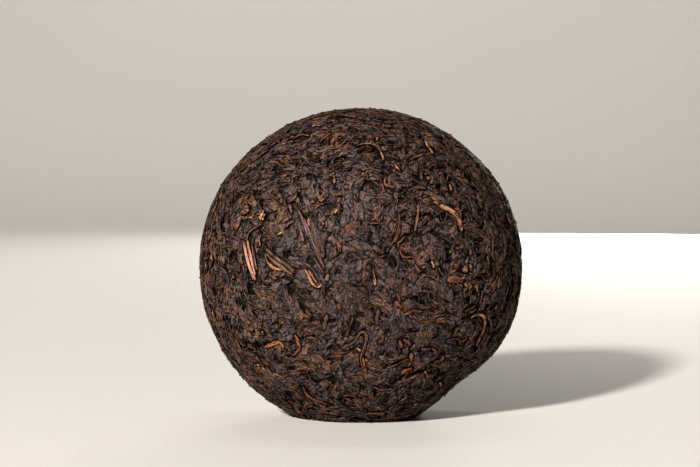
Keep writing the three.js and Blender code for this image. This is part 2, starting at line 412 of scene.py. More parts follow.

# Dry pressed leaf, as every material here shows it: mottled at the size of the crumbs, warmer where the
# leaf is younger, wrinkled finely all over, and with painted shade down in the gaps between the pieces.
BLACK = (0.0, 0.0, 0.0, 1.0)
GRAIN, WRINKLE, BLOTCH, PATCH, STAIN, CRACK = 2300.0, 700.0, 430.0, 1000.0, 150.0, 330.0  # scales, per metre
COOL_CAST, WARM_CAST = (0.87, 0.99, 1.18, 1), (1.1, 1.0, 0.87, 1)
dry_leaf, given, result = new_group(
    "dry_leaf",
    {
        "Dark": BLACK, "Middle": BLACK, "Pale": BLACK, "Warm": BLACK,
        "Warm Share": 0.4, "Tone": 0.5, "Deep": 0.0, "Streak": 0.5, "Gap Shade": 0.7, "Crease": 0.0,
        "Crack Share": 0.9, "Rim": 0.0, "Cast": 0.5,
    },
    {"Color": BLACK, "Roughness": 0.5, "Height": 0.0, "Sheen": 0.0},
)
place = add_node(dry_leaf, "TexCoord").outputs["Object"]
grain = noise_on(place, GRAIN, 3.0, 0.65)[0]
wrinkle = noise_on(place, WRINKLE, 2.0, 0.6, distortion=1.6)[0]
blotch = noise_on(place, BLOTCH, 3.0, 0.6)[0]
patch = parts_of(noise_on(place, PATCH, 3.0, 0.8)[1], "SeparateColor")[1]
stain = noise_on(place, STAIN, 2.0, 0.6)[0]

# On the middle of the dome the blades are broader, less stained, and painted with less shade in their creases
# and gaps.
x, _, z = parts_of(place)
z = minus(z, AXIS_HEIGHT * MM)
from_axis = maths("SQRT", maths("MULTIPLY_ADD", x, x, times(z, z)))
calm = scaled(from_axis, -40.0, 1.7, clamp=True)

tone = scaled(minus(blotch, 0.5), 0.4, given["Tone"])
tone = scaled(minus(given["Streak"], 0.5), 0.6, tone)
tone = scaled(minus(wrinkle, 0.5), 0.3, tone)
colour = mix_colours(scaled(tone, 2.0, clamp=True), given["Dark"], given["Middle"])
colour = mix_colours(scaled(tone, 2.0, -1.0, clamp=True), colour, given["Pale"])
colour = mix_colours(1.0, colour, mix_colours(given["Cast"], COOL_CAST, WARM_CAST), "MULTIPLY")
stain = scaled(calm, -0.35, scaled(stain, 5.0, -2.45), clamp=True)
warm = maths("ADD", scaled(patch, 9.0, -4.95, clamp=True), stain, clamp=True)
# Pale rims, partly wear and partly painted highlight, take the warm colour.
warm = maths("MAXIMUM", times(warm, given["Warm Share"]), given["Rim"])
colour = mix_colours(warm, colour, given["Warm"])

# Painted shade in a net of fine cracks between the leaf pieces, which the bump also carves.
crack = scaled(cells_on(shaken(place, 300.0, 0.008), CRACK, "DISTANCE_TO_EDGE")[0], -17.0, 1.75, clamp=True)
crack = times(crack, scaled(blotch, 8.0, -4.2, clamp=True))
crack = times(crack, given["Crack Share"])
# Painted shade in the creases, which the bump also carves; lighter on the middle of the dome.
creased = scaled(calm, -0.35, scaled(blotch, 3.0, -0.4), clamp=True)
creased = times(creased, given["Crease"])
# Painted shade: the leaf is darkened where it lies deep in the gaps between the pieces, less on the middle of
# the dome.
deep = times(times(given["Deep"], given["Gap Shade"]), scaled(calm, -0.2, 0.9))
# Pale rims, partly wear and partly painted highlight, lighten the leaf.
shade = maths("MAXIMUM", scaled(given["Rim"], 0.5, scaled(grain, 3.0, -0.52)), 0.15)
shade = times(shade, minus(1.0, deep))
shade = times(shade, scaled(creased, -0.97, 1.0))
shade = times(shade, minus(1.0, crack))
grey = add_node(dry_leaf, "CombineXYZ", {0: shade, 1: shade, 2: shade}).outputs[0]

height = scaled(given["Streak"], 1.7, scaled(wrinkle, 0.35, times(grain, 0.4)))
height = scaled(crack, -0.8, scaled(given["Crease"], -0.8, height))
feed(
    result,
    Color=mix_colours(1.0, colour, grey, "MULTIPLY"),
    Roughness=maths("ADD", scaled(grain, 0.4, 0.4), maths("MAXIMUM", crack, given["Deep"]), clamp=True),
    Height=height,
    Sheen=times(shade, 0.12, clamp=True),  # leaf that lies open is a little waxy
)


def new_surface(name):
    material = bpy.data.materials.new(name)
    material.use_nodes = True
    surface = material.node_tree.nodes.new("ShaderNodeGroup")
    surface.node_tree = dry_leaf
    return material, surface


def finish_leaf(material, surface, colours, warm_share=0.4, gap_shade=1.0, relief=0.8, crack_share=0.4):
    """Sets a leaf material's colours, and joins the shared leaf surface to its shader."""
    tones = zip(("Dark", "Middle", "Pale", "Warm"), (linear(*colour) for colour in colours))
    feed(surface, tones, Warm_Share=warm_share, Gap_Shade=gap_shade, Crack_Share=crack_share)
    tree, leaf = material.node_tree, surface.outputs
    bump = add_node(tree, "Bump", Height=leaf["Height"], Strength=1.0, Distance=relief * MM)
    feed(
        tree.nodes["Principled BSDF"],
        Base_Color=leaf["Color"], Roughness=leaf["Roughness"], Normal=bump.outputs[0],
        Coat_Weight=leaf["Sheen"], Coat_Roughness=0.48, Specular_IOR_Level=0.05,
    )


def attribute_of(tree, name):
    return parts_of(add_node(tree, "Attribute", {}, {"attribute_name": name}).outputs["Vector"])


# On the body the leaf pieces are parted by a net of fine winding cracks, painted dark as shade.
NET = 620.0  # per metre
core_material, surface = new_surface("packed_leaf")
tree = core_material.node_tree
net = shaken(add_node(tree, "TexCoord").outputs["Object"], 420.0, 0.0042)
crack = scaled(cells_on(net, NET, "DISTANCE_TO_EDGE")[0], -7.0, 1.0, clamp=True)
feed(
    surface,
    Tone=scaled(parts_of(cells_on(net, NET)["Color"], "SeparateColor")[0], 0.7),
    # Painted shade: darker where the body lies deep under the leaves, and in the cracks.
    Deep=maths("MAXIMUM", scaled(attribute_of(tree, "lie")[2], 5.0, -1.2, clamp=True), crack),
    Streak=minus(1.0, crack),
)
finish_leaf(
    core_material, surface, ((14, 11, 10), (30, 22, 20), (52, 39, 34), (70, 46, 34)),
    warm_share=0.5, gap_shade=0.9, relief=0.3, crack_share=0.9,
)
make_piece("pressed_core", core_points, [core_faces], core_material, core_carried, core_lie)

# ---------------------------------------------------------------------------------------------------
# The bare stems: stems that lost their leaf, split and grooved lengthwise, reddish or tan. They lie on
# the front and are pressed into it, each where the picture shows it, as are the next groups' pieces.

PRESS_SOFTNESS = 0.12  # how gradually what stands too high is flattened
BLUNT_END = 0.04  # of a roll's length
GIVEN_BACK = 1.6  # averaging the shaking with its neighbours takes it down by so much
TIPPED = 1.6  # the ends are tipped up or down by about this times the rise
THICK_SHAKE, GRIT = 0.15, 0.04
OWN_STREAKS = 500  # millimetres over which the pieces begin their streaks, so that no two are alike


def press(height):
    """Flattens what stands higher than the wall of the press, and keeps its order."""
    return ENVELOPE - PRESS_SOFTNESS * np.logaddexp(0, (ENVELOPE - height) / PRESS_SOFTNESS)


def faces_of(count, rings, sides):
    """Quads and triangles of pieces whose points are a tip, rings of points, and a tip."""
    each = 2 + rings * sides
    first = (each * np.arange(count))[:, None, None]
    now = 1 + np.arange(sides)
    turn = np.roll(now, -1)
    band = np.stack([now, now + sides, turn + sides, turn], 1)
    quads = np.concatenate([band + k * sides for k in range(rings - 1)])
    last = (rings - 1) * sides
    tips = np.concatenate([
        np.stack([np.zeros(sides, int), now, turn], 1),
        np.stack([np.full(sides, each - 1), last + turn, last + now], 1),
    ])
    return [(quads[None] + first).reshape(-1, 4), (tips[None] + first).reshape(-1, 3)]


def strips(places, normals, alongs, width, thick, height, roll, rng,
           sides=5, blunt=0.3, rise=0.07, rough=0.2, ridge=0.07, tuck=0.4, lift=0.0):
    """Closed flattened rolls along the lines, with their tops at height.

    Returns the points, the faces, the points carried up to the wall of the press, how they lie, and how
    near the edge of their piece they are.
    """
    count, rings = places.shape[:2]
    share = np.linspace(0, 1, rings)[None, :]
    taper = np.sin(np.pi * np.clip(share, BLUNT_END, 1 - BLUNT_END)) ** blunt
    shaken = rng.normal(0, GIVEN_BACK, (count, rings + 2))
    shaken = (shaken[:, :-2] + 2 * shaken[:, 1:-1] + shaken[:, 2:]) / 4
    wide = width[:, None] / 2 * taper * np.exp(rough * shaken)
    tall = thick[:, None] / 2 * taper * np.exp(rng.normal(0, THICK_SHAKE, (count, rings)))
    rolls = roll[0][:, None] + roll[1][:, None] * (share - 0.5)
    middle = height - thick[:, None] / 2 + rng.normal(0, TIPPED * rise, (count, 1)) * (share - 0.5) * 2
    middle = middle + rng.normal(0, rise, (count, rings)) - tuck * np.abs(2 * share - 1) ** 3
    around = 2 * math.pi * (np.arange(sides) + 0.25) / sides
    flat_x = wide[..., None] * np.cos(around)
    flat_y = tall[..., None] * np.sin(around)
    cos_roll, sin_roll = np.cos(rolls)[..., None], np.sin(rolls)[..., None]
    side_x = flat_x * cos_roll - flat_y * sin_roll
    ridges = rng.normal(0, ridge, (count, 1, sides)) * taper[..., None]
    ridges = ridges + rng.normal(0, GRIT, flat_x.shape)
    up = press(middle[..., None] + flat_x * sin_roll + flat_y * cos_roll + ridges)
    up = up + lift * (share**2 * rng.uniform(0.3, 1, (count, 1)))[..., None]
    across = np.cross(alongs, normals)
    base = places + normals * lump(places)[..., None]
    normals = normals[:, :, None]
    points = stand(base[:, :, None] + across[:, :, None] * side_x[..., None] + normals * up[..., None])
    carried = points + normals * (ENVELOPE - up)[..., None]
    step_length = np.linalg.norm(np.diff(places, axis=1), axis=2)
    along_mm = np.concatenate([np.zeros((count, 1)), np.cumsum(step_length, axis=1)], axis=1)
    along_mm = along_mm + rng.uniform(0, OWN_STREAKS, (count, 1))
    edge = np.broadcast_to(np.abs(np.cos(around)), side_x.shape)
    lie = np.stack([np.broadcast_to(along_mm[..., None], side_x.shape), flat_x, ENVELOPE - up, edge], axis=-1)

    def ends_joined(values):
        first = values[:, :1].mean(axis=2)
        last = values[:, -1:].mean(axis=2)
        inner = values[:, 1:-1].reshape(count, -1, values.shape[-1])
        return np.concatenate([first, inner, last], axis=1)

    points, carried, lie = ends_joined(points), ends_joined(carried), ends_joined(lie)
    lie[:, (0, -1), 3] = 1
    lie = lie.reshape(-1, 4)
    faces = faces_of(count, rings - 2, sides)
    return points.reshape(-1, 3), faces, carried.reshape(-1, 3), lie[:, :3], lie[:, 3]


def leaf_material(name, *colours, streaks=1.5, drawn_out=0.28, **finish):
    """Leaf streaked and creased along its length, with painted shade at its edges and down deep, a painted
    highlight on its crest, and rims pale from wear and painted highlight.
    """
    material, surface = new_surface(name)
    tree = material.node_tree
    along, across, depth = attribute_of(tree, "lie")
    tone, number, edge = attribute_of(tree, "leaf")
    along, across = times(along, drawn_out), times(across, streaks)
    place = add_node(tree, "CombineXYZ", {0: along, 1: across, 2: times(number, 40.0)}).outputs[0]
    torn = noise_on(place, 2.5, 1.0)[0]
    fold = maths("ABSOLUTE", scaled(noise_on(place, 0.7, 1.5, distortion=0.5)[0], 2.0, -1.0))
    # Painted shade along each piece's edges, where it meets the gap beside its neighbours.
    painted_edge_shade = scaled(scaled(torn, 0.5, minus(edge, 0.25)), 6.0, -3.8, clamp=True)
    # A pale band along some leaves' edges: partly wear, partly painted highlight.
    rim = scaled(maths("ABSOLUTE", minus(edge, 0.7)), -9.0, 1.2, clamp=True)
    wear_and_highlight = times(scaled(number, 3.0, -1.0, clamp=True), scaled(torn, 5.0, -2.0, clamp=True))
    feed(
        surface,
        # Painted light: the tone is lighter along each piece's crest and darker towards its sides.
        Tone=maths("ADD", tone, scaled(edge, -0.32, 0.12)),
        Streak=noise_on(place, 1.1, 2.0, 0.6)[0],
        Crease=scaled(fold, -10.0, 1.4, clamp=True),
        Cast=scaled(noise_on(place, 0.35, 0.0)[0], 3.0, -1.0, clamp=True),
        Rim=times(rim, wear_and_highlight),
        # Painted shade where the piece lies deep below its neighbours, and along its edges.
        Deep=maths("MAXIMUM", scaled(depth, 8.0, -1.35, clamp=True), painted_edge_shade),
    )
    finish_leaf(material, surface, colours, **finish)
    return material


LINE_STEPS, KNOT_STEPS = 15, 20  # stretches along a long piece, and between two of its points
SIGHT_STEPS, SIGHT_HALVINGS = 300, 12  # how finely the place that the camera sees is looked for
SPARE = 5  # millimetres in front of the dome, where the search begins
EYE = np.array(camera.location) / MM
TURN = np.array(camera.rotation_euler.to_matrix())


def on_dome(columns, rows):
    """The places on the dome that the camera sees at these picture points."""
    away = np.stack([
        (columns - PHOTO_WIDTH / 2) / FOCAL_PIXELS,
        (PHOTO_HEIGHT / 2 - rows) / FOCAL_PIXELS,
        -np.ones(len(columns)),
    ], axis=1) @ TURN.T
    low = np.full(len(columns), CAMERA_DISTANCE / MM - DEEP / 2 - SPARE)
    high = np.full(len(columns), CAMERA_DISTANCE / MM + DEEP / 2 - WIDEST_FROM_RIM)

    def outside(far):
        place = EYE + away * far[:, None]
        r, angle = round_axis(place)
        r = r / (ACROSS / 2) / (1 - pressed_in(angle))
        s = np.clip((RIM_Y - place[:, 1] - WIDEST_FROM_RIM) / (DEEP - WIDEST_FROM_RIM), 0, None)
        return r**DOME_FULLNESS + s**DOME_FULLNESS > 1

    first = high.copy()
    for far in np.linspace(high, low, SIGHT_STEPS):
        first = np.where(outside(far), first, far)
    low = first - (high - low) / (SIGHT_STEPS - 1)
    for _ in range(SIGHT_HALVINGS):
        middle = (low + first) / 2
        beyond = outside(middle)
        low, first = np.where(beyond, middle, low), np.where(beyond, first, middle)
    return nearest(EYE + away * first[:, None])


def smooth_line(knots):
    """Evenly spaced points on a smooth curve through the knots."""
    knots = np.reshape(knots, (-1, 2))
    if len(knots) == 2:
        knots = np.array([knots[0], (knots[0] + knots[1]) / 2, knots[1]])
    padded = np.concatenate([[2 * knots[0] - knots[1]], knots, [2 * knots[-1] - knots[-2]]])
    fine = []
    t = np.linspace(0, 1, KNOT_STEPS, endpoint=False)[:, None]
    for a, b, c, d in zip(padded, padded[1:], padded[2:], padded[3:]):
        square, cube = 2 * a - 5 * b + 4 * c - d, 3 * b - a - 3 * c + d
        fine.append(0.5 * (2 * b + (c - a) * t + square * t**2 + cube * t**3))
    fine = np.concatenate(fine + [knots[-1:]])
    length = np.concatenate([[0], np.cumsum(np.hypot(*np.diff(fine, axis=0).T))])
    even = np.linspace(0, length[-1], LINE_STEPS + 1)
    return np.stack([np.interp(even, length, fine[:, k]) for k in (0, 1)], axis=1)


PIXEL_MM = (CAMERA_DISTANCE / MM - DEEP / 4) / FOCAL_PIXELS
THINNEST = 0.5
LOWEST_TOP, HIGHEST_TOP = 0.1, 0.22  # above the smooth body


def leaf_values(tone, rng, edge):
    """For every point: its piece's tone, its piece's own number, and how near the edge it is."""
    leaf = np.stack([tone, rng.random(len(tone))], axis=1)
    return np.concatenate([np.repeat(leaf, len(edge) // len(tone), axis=0), edge[:, None]], axis=1)


long_places = []  # points along the middle of each long piece, and how far other leaves stay off them


def long_pieces(name, seed, material, pieces,
                tones=(0.2, 0.8), up=0.0, thickest=1.3, blunt=0.25, rough=0.2, clear=0.5):
    """Rolls where the picture shows them, each given by its points' columns and rows and then its width,
    all in pixels."""
    rng = np.random.default_rng(seed)
    drawn = np.array([smooth_line(piece[:-1]) for piece in pieces.values()])
    count = len(drawn)
    place, normal = on_dome(drawn[..., 0].ravel(), drawn[..., 1].ravel())
    place, normal = place.reshape(count, -1, 3), normal.reshape(count, -1, 3)
    along = np.gradient(place, axis=1)
    along = unit(along - normal * np.sum(along * normal, axis=2, keepdims=True))
    width = PIXEL_MM * np.array([piece[-1] for piece in pieces.values()])
    height = rng.uniform(LOWEST_TOP, HIGHEST_TOP, (count, 1)) + up
    roll = (rng.normal(0, 0.15, count), rng.normal(0, 0.4, count))
    points, faces, carried, lie, edge = strips(
        place, normal, along, width, np.clip(0.5 * width, THINNEST, thickest), height, roll, rng,
        sides=10, blunt=blunt, rise=0.03, rough=rough, ridge=0.14, tuck=0.15,
    )
    leaf = leaf_values(rng.uniform(*tones, count), rng, edge)
    make_piece(name, points, faces, material, carried, lie, leaf)
    reach = np.broadcast_to(clear * width[:, None, None], place.shape[:2] + (1,))
    long_places.append(np.concatenate([place, reach], 2).reshape(-1, 4))


bare = leaf_material(
    "bare_stem", (90, 57, 47), (142, 95, 79), (206, 156, 138), (142, 90, 70),
    streaks=2.2, drawn_out=0.1, warm_share=0.3, relief=0.2, crack_share=0.2,
)
GROOVED = dict(streaks=2.4, relief=0.2, crack_share=0.2)
tan = leaf_material(
    "tan_stem", (62, 41, 32), (108, 77, 61), (144, 106, 87), (120, 80, 58), drawn_out=0.14, **GROOVED
)
STEM = dict(up=0.03, rough=0.13)
long_pieces("bare_stems", 100, bare, dict(
    split_stem=(243.6, 240, 245.6, 252, 248.4, 265, 251.6, 275, 254.2, 282, 5.6),
    split_stem_other_half=(246.8, 239, 248.8, 249, 251, 259, 253, 268, 254.8, 276, 4.4),
    pale_thin_stem=(387, 369, 398, 365, 410, 359, 2.8),
), **STEM)
long_pieces("tan_stems", 101, tan, dict(
    grooved_stem=(264.5, 248, 273, 255.5, 284, 264, 295, 271.5, 4.2),
    grooved_stem_middle=(268, 252.5, 277, 260, 285, 266.5, 294, 273.4, 3.8),
    grooved_stem_other_side=(265.5, 252.5, 274, 261.5, 283, 268.6, 292.6, 275.4, 3.8),
    edge_of_leaf=(259, 236.5, 259.4, 241, 260, 246, 1.8),
    knee=(280, 277, 284, 273, 3.4),
), **STEM)

# ---------------------------------------------------------------------------------------------------
# The folded leaves: narrow leaves that folded lengthwise as they dried, brown and a little violet. The
# press has bent them and left each as a ridge, singly or in forks.

folded = leaf_material(
    "folded_leaf", (46, 32, 28), (88, 61, 54), (118, 84, 74), (104, 67, 48),
    streaks=1.6, drawn_out=0.14, warm_share=0.6, crack_share=0.2,
)
long_pieces("folded_leaves", 102, folded, dict(
    companion_leaf=(251.6, 242, 253, 250, 254.4, 260, 256.6, 271, 2.8),
    fork_left=(291, 204, 297, 208, 302, 217, 308, 232, 313, 245, 320, 259, 325, 271, 3.8),
    fork_right=(311.4, 212, 311.6, 222, 313.6, 231, 318, 244, 3.6),
    fork_foot=(313, 257, 319, 266, 324, 274, 2.8),
    hairpin_edge=(299, 258, 304, 263, 311, 268, 316, 275, 320.5, 282, 1.8),
    dark_strand=(300, 227, 301, 234, 303, 242, 3.6),
    folded_leaf=(380, 310, 377, 318, 378, 326, 5),
    olive_bud=(328, 292, 328, 303, 5),
    flat_leaf=(421, 350, 431, 350, 4),
    grey_leaf=(246, 345, 255, 350, 4.5),
    brown_leaf=(346, 338, 350, 327, 353, 317, 4),
    low_strand=(258, 286, 264, 286.6, 270, 285.6, 1.8),
), tones=(0.4, 0.9))

# ---------------------------------------------------------------------------------------------------
# The blades: whole stretches of open leaf, thin and flat, that the press has smoothed onto the dome. Some
# are violet grey, and some are brown like the stalks.

blade = leaf_material(
    "flat_blade", (48, 36, 34), (76, 57, 53), (102, 77, 71), (112, 72, 52),
    streaks=1.2, drawn_out=0.3, crack_share=0.8,
)
stalk = leaf_material(
    "thin_stalk", (52, 34, 28), (94, 63, 50), (134, 94, 76), (116, 71, 48), drawn_out=0.16, **GROOVED
)
FLAT = dict(thickest=0.55, blunt=0.6, rough=0.3)
BLADE = dict(FLAT, up=-0.1, clear=0.15)
long_pieces("flat_blades", 103, blade, dict(
    fork_blade=(311, 216, 315, 232, 319.4, 246, 323.6, 259, 16),
    grey_blade=(335, 244, 332.6, 252, 329, 261, 9),
    reddish_blade=(325, 234, 331, 239, 337, 243, 10),
    violet_blade=(296, 328, 308, 325, 321, 322, 13),
    violet_blade_right=(346, 288, 357, 291, 369, 295, 15),
    smooth_blade=(362, 259, 361, 270, 359, 282, 13),
    low_blade=(430, 300, 438, 306, 446, 313, 10),
), **BLADE)
long_pieces("brown_blades", 104, stalk, dict(
    upper_blade=(345, 231, 352, 226, 361, 222, 8),
    olive_blade=(448, 281, 456, 279, 465, 282, 11),
    orange_blade=(337.4, 241, 339, 247, 340.6, 253, 5),
    brown_blade_below=(330, 350, 338, 354, 346, 354, 8),
    brown_blade_low=(373, 388, 382, 391, 393, 390, 5),
), **BLADE)

# ---------------------------------------------------------------------------------------------------
# The buds: young leaf tips, rolled tight. The downy ones are pale gold and the others rusty. They are the
# brightest things on the dome, bent or looped as they were when the press caught them.

DOWNY = dict(GROOVED, drawn_out=0.34, relief=0.3)
gold = leaf_material("golden_bud", (58, 37, 29), (116, 77, 56), (192, 138, 98), (134, 86, 57), **DOWNY)
rusty = leaf_material("rusty_bud", (58, 35, 27), (116, 71, 50), (174, 112, 78), (138, 84, 56), **DOWNY)
long_pieces("long_buds", 105, gold, dict(
    bent_bud=(434, 200, 442, 206, 451, 210, 458, 217, 462, 226, 463, 232, 6),
    curved_bud=(265, 253, 265.6, 258, 268.4, 263.5, 273, 267.4, 278, 269.4, 282.6, 270, 3.2),
    looped_bud=(
        303.5, 268.5, 307, 273, 309.6, 278.4, 312, 283.4, 316, 287.4, 319.6, 286.4, 320.4, 283.4, 2.6,
    ),
    looped_bud_inside=(308, 270, 311.4, 275, 314, 279.4, 317, 283, 2.2),
    right_bud=(471, 319, 478, 315, 485, 317, 486, 326, 482, 336, 476, 348, 4.6),
    edge_bud_left=(219, 201, 216, 209, 212.6, 218, 4.2),
    arched_bud=(356, 145, 367, 143, 376, 145, 381, 151, 384, 161, 3.6),
    bright_bud=(426, 140, 430, 147, 434, 153, 4.2),
    edge_bud=(507, 212, 511, 223, 513, 232, 3.2),
), tones=(0.62, 0.92))
long_pieces("rusty_buds", 106, rusty, dict(
    hook_low=(434, 363, 441, 361, 444, 357, 441, 356, 3.4),
    hook_left=(402, 376, 404, 372, 413, 369, 3.4),
    standing_bud=(412, 354, 412, 363, 4),
    hook_foot=(425, 372, 429, 377, 433, 375, 4),
    rust_bud=(395, 301, 403, 309, 4),
    side_bud=(459, 328, 455, 338, 4.2),
    foot_bud=(302, 387, 308, 396, 317, 401, 330, 406, 4.6),
    foot_flake=(274, 403, 283, 411, 5),
    level_bud=(404, 316, 413, 312, 424, 312, 3.4),
    short_bud=(305, 310, 311, 317, 3.2),
    hooked_bud=(263, 349, 271, 345, 279, 343, 283, 350, 3.8),
    forked_bud=(293, 335, 297, 342, 298, 351, 290, 358, 3.8),
    pear_bud=(374.2, 277.6, 375, 281.4, 375.4, 285.6, 3.8),
    loop_foot=(362.6, 358, 363.2, 366, 366.6, 375, 4.4),
    torn_bud=(400, 341, 401, 345, 402, 349, 3.8),
    curled_bud=(404, 341, 408, 342.6, 411, 346.4, 3.6),
), tones=(0.35, 0.8))

# ---------------------------------------------------------------------------------------------------
# The stalks: thin leaf stalks and veins without their leaf, brown and wiry, caught in the surface in
# loops, hooks and short dashes.

long_pieces("thin_stalks", 107, stalk, dict(
    low_loop=(347, 347, 355, 342, 359, 335, 363, 332, 367, 338, 364, 350, 361, 361, 367, 376, 3.2),
    split_stem_tip=(246.6, 240, 248, 234, 251.5, 230, 257, 227, 262, 224, 2.6),
    pear_bud_stem=(373, 268, 373.6, 273, 374.6, 279.6, 2.4),
    upright_bud=(327, 315, 325, 323, 323, 331, 4),
    high_bud=(284, 228, 289, 223, 294, 221, 3.4),
    hung_bud=(294, 229, 295, 238, 3.4),
    crumb_one=(271, 277, 276, 279, 3.2),
    crumb_two=(315, 210, 317, 213, 2.6),
    crumb_three=(319, 213, 320, 217, 2.6),
    crumb_four=(325, 213, 330, 214, 2.8),
    crumb_five=(322, 223, 324, 224, 3.2),
    tan_end=(328, 274, 326, 281, 4.2),
    tan_tip=(340, 197, 337, 202, 3.4),
    stalk_to_bud=(409, 160, 420, 155, 434, 152, 2.6),
    upright_stalk=(419, 203, 418, 216, 415, 232, 3.2),
    long_stalk=(398.6, 212, 399.6, 224, 396.6, 235, 391.6, 244, 386, 252.6, 2.6),
    long_stalk_side=(401.4, 222, 399, 234, 394, 243, 1.8),
    bent_stalk=(397.4, 246, 400.6, 251.6, 403.4, 256.4, 409, 257, 414.6, 255.4, 2.2),
    hooked_stalk=(386, 177, 385, 183, 390, 186, 396, 187, 3),
    level_stalk=(409, 190, 416, 187, 427, 188, 2.6),
    rim_stalk=(299, 121, 314, 116, 327, 112, 335, 110, 2.6),
    rim_stalk_right=(335, 113, 347, 114, 356, 116, 2.6),
    rim_stalk_far=(464, 142, 475, 151, 488, 165, 2.6),
    left_stalk=(257, 157, 268, 150, 3),
    top_stalk=(294, 137, 301, 134, 309, 135, 2.6),
    grey_stalk=(302, 341, 310, 338, 318, 340, 2.6),
    outer_stalk=(487, 314, 492, 325, 490, 334, 3),
    side_stalk=(466, 312, 476, 306, 3),
    upper_stalk=(484, 290, 482, 299, 481, 306, 3),
    lower_stalk=(448, 341, 459, 340, 461, 346, 2.6),
    dash_one=(362, 176, 370, 180, 2.6),
    dash_two=(254, 355, 263, 368, 3),
    dash_three=(236, 342, 241, 353, 3),
    dash_four=(322, 365, 332, 361, 3.2),
    dash_five=(289, 204, 292, 213, 3),
    dash_six=(308, 217, 309, 226, 3),
    dash_seven=(415, 265, 421, 273, 3.6),
    foot_stalk=(367, 415, 386, 415, 3),
), tones=(0.35, 0.9))

# ---------------------------------------------------------------------------------------------------
# The bright bits: ends of buds and torn chips of stem that catch the light, a millimetre or two long. The
# bits are rounded, and the chips are flat with ragged outlines.

long_pieces("bright_bits", 108, gold, dict(enumerate([
    (262.4, 213, 263.6, 210, 3), (239.6, 223, 237, 229, 2.4), (277, 234.6, 282, 232.6, 2.8),
    (309, 202, 315, 201, 2.8), (320, 201, 324.4, 198, 2.4), (426, 171, 427, 174, 3.5),
    (428, 176, 429, 179, 3.5), (431, 180, 432, 183, 3.5), (377, 136, 377, 140, 3.6),
    (206, 262, 206, 269, 3.2), (211, 311, 213, 318, 5), (231, 276, 234, 278, 3.6),
    (261, 332, 262, 336, 3.2), (356, 349, 361, 352, 4), (470.4, 264.6, 472, 268, 3.2),
    (466.4, 262.6, 469.6, 256.6, 3.4), (471.6, 248.4, 471.2, 255, 2.8), (450.6, 252.4, 452.4, 250, 2.8),
    (456.8, 247.6, 458.8, 249.4, 2.8), (514, 267, 514, 274, 4), (497, 304, 497, 311, 3.4),
    (379, 342, 383, 343, 3.6), (333, 175, 335, 183, 3.2), (312, 125, 320, 124, 3.8),
    (432, 261, 435, 268, 3.4), (440, 383, 442, 387, 4), (414, 406, 418, 405, 4), (289, 402, 293, 403, 3.4),
    (365, 360, 368, 362, 3.4), (256, 365, 260, 366, 3.2), (450, 184, 452, 190, 3),
])), tones=(0.5, 0.9))
long_pieces("bright_chips", 109, gold, dict(enumerate([
    (242.6, 208.6, 245.4, 210, 247.8, 212, 10.4), (260, 220, 261.6, 216.4, 263, 212.6, 9.4),
    (464, 268, 466.4, 269.4, 468.6, 270.6, 7), (210.6, 254, 211.6, 258.6, 211.4, 263, 6),
])), tones=(0.6, 0.9), **FLAT)

# ---------------------------------------------------------------------------------------------------
# The rolled leaves: thin twisted strips of whole leaf, nearly black when dry, which the press has laid
# along its wall and flattened into each other. They run round the dome near its edge and every way on top.

FLOW_SIZE = 8.5  # millimetres over which the leaves change direction
OTHER_FLOW = 40  # millimetres to a place with other noise, for the finer swirl
HALF_TURNS, STEADIER = 1.15, 0.72  # how far they turn, and how much less near the edge
RING_FROM, CALM_TO, BLEND = 0.5, 0.8, 0.4  # of the radius
LONG_CLEARANCE = 0.85  # these leaves lie this much deeper where a long piece lies on them
CLEAR_BEYOND, CLEAR_FADE = 0.15, 0.6  # beside it this falls off, to nothing 0.7 mm from its edge
long_places = np.concatenate(long_places)


def under_long_pieces(places):
    """1 under the long pieces, falling to 0 beside them."""
    flat = places.reshape(-1, 3)
    share = np.zeros(len(flat))
    for low in range(0, len(flat), CHUNK):
        part = slice(low, low + CHUNK)
        away = np.linalg.norm(flat[part, None] - long_places[None, :, :3], axis=2) - long_places[None, :, 3]
        share[part] = np.clip(1 + CLEAR_BEYOND - away.min(axis=1) / CLEAR_FADE, 0, 1)
    return share.reshape(places.shape[:-1])


def heading_at(place, normal, offset):
    """The direction of the leaves here, turned by each leaf's own offset."""
    r, angle = round_axis(place)
    ring = np.stack([-np.sin(angle), np.zeros(len(angle)), np.cos(angle)], axis=1)
    level = np.array([1.0, 0.0, 0.0]) - normal * normal[:, :1]
    ring = ring * np.where(np.sum(ring * level, axis=1, keepdims=True) < 0, -1, 1)
    round_the_edge = np.clip((r / (ACROSS / 2) - RING_FROM) / BLEND, 0, 1)[:, None]
    base = (1 - round_the_edge) * level + round_the_edge * ring
    base = base / np.maximum(np.linalg.norm(base, axis=1, keepdims=True), 1e-6)
    swirl = noise(place, FLOW_SIZE) + 0.55 * noise(place + OTHER_FLOW, FLOW_SIZE / 2)
    turn = (1 - STEADIER * round_the_edge[:, 0]) * math.pi * HALF_TURNS * swirl + offset
    side = np.cross(normal, base)
    return np.cos(turn)[:, None] * base + np.sin(turn)[:, None] * side


def walk(place, normal, offset, length, bend, wander, steps, rng):
    """Lines that run over the body from each place: lists of places, normals and directions."""
    along = heading_at(place, normal, offset) * np.where(rng.random((len(place), 1)) < 0.5, -1, 1)
    places, normals, alongs = [place], [normal], [along]
    for step in range(steps):
        place, normal = nearest(place + along * (length / steps)[:, None])
        offset = offset + bend / steps + rng.normal(0, wander, len(place))
        heading = heading_at(place, normal, offset)
        along = heading * np.where(np.sum(heading * along, axis=1, keepdims=True) < 0, -1, 1)
        places.append(place)
        normals.append(normal)
        alongs.append(along)
    return np.stack(places, 1), np.stack(normals, 1), np.stack(alongs, 1)


SPREAD_SHAKE = 0.9  # of the distance between neighbours
LOWEST_START = -1.0  # leaves that would lie under the foot are left out
STRAY, LOOSE, ANY_WAY = 0.22, 0.14, 1.6  # radians, and the share of the leaves that lie any way


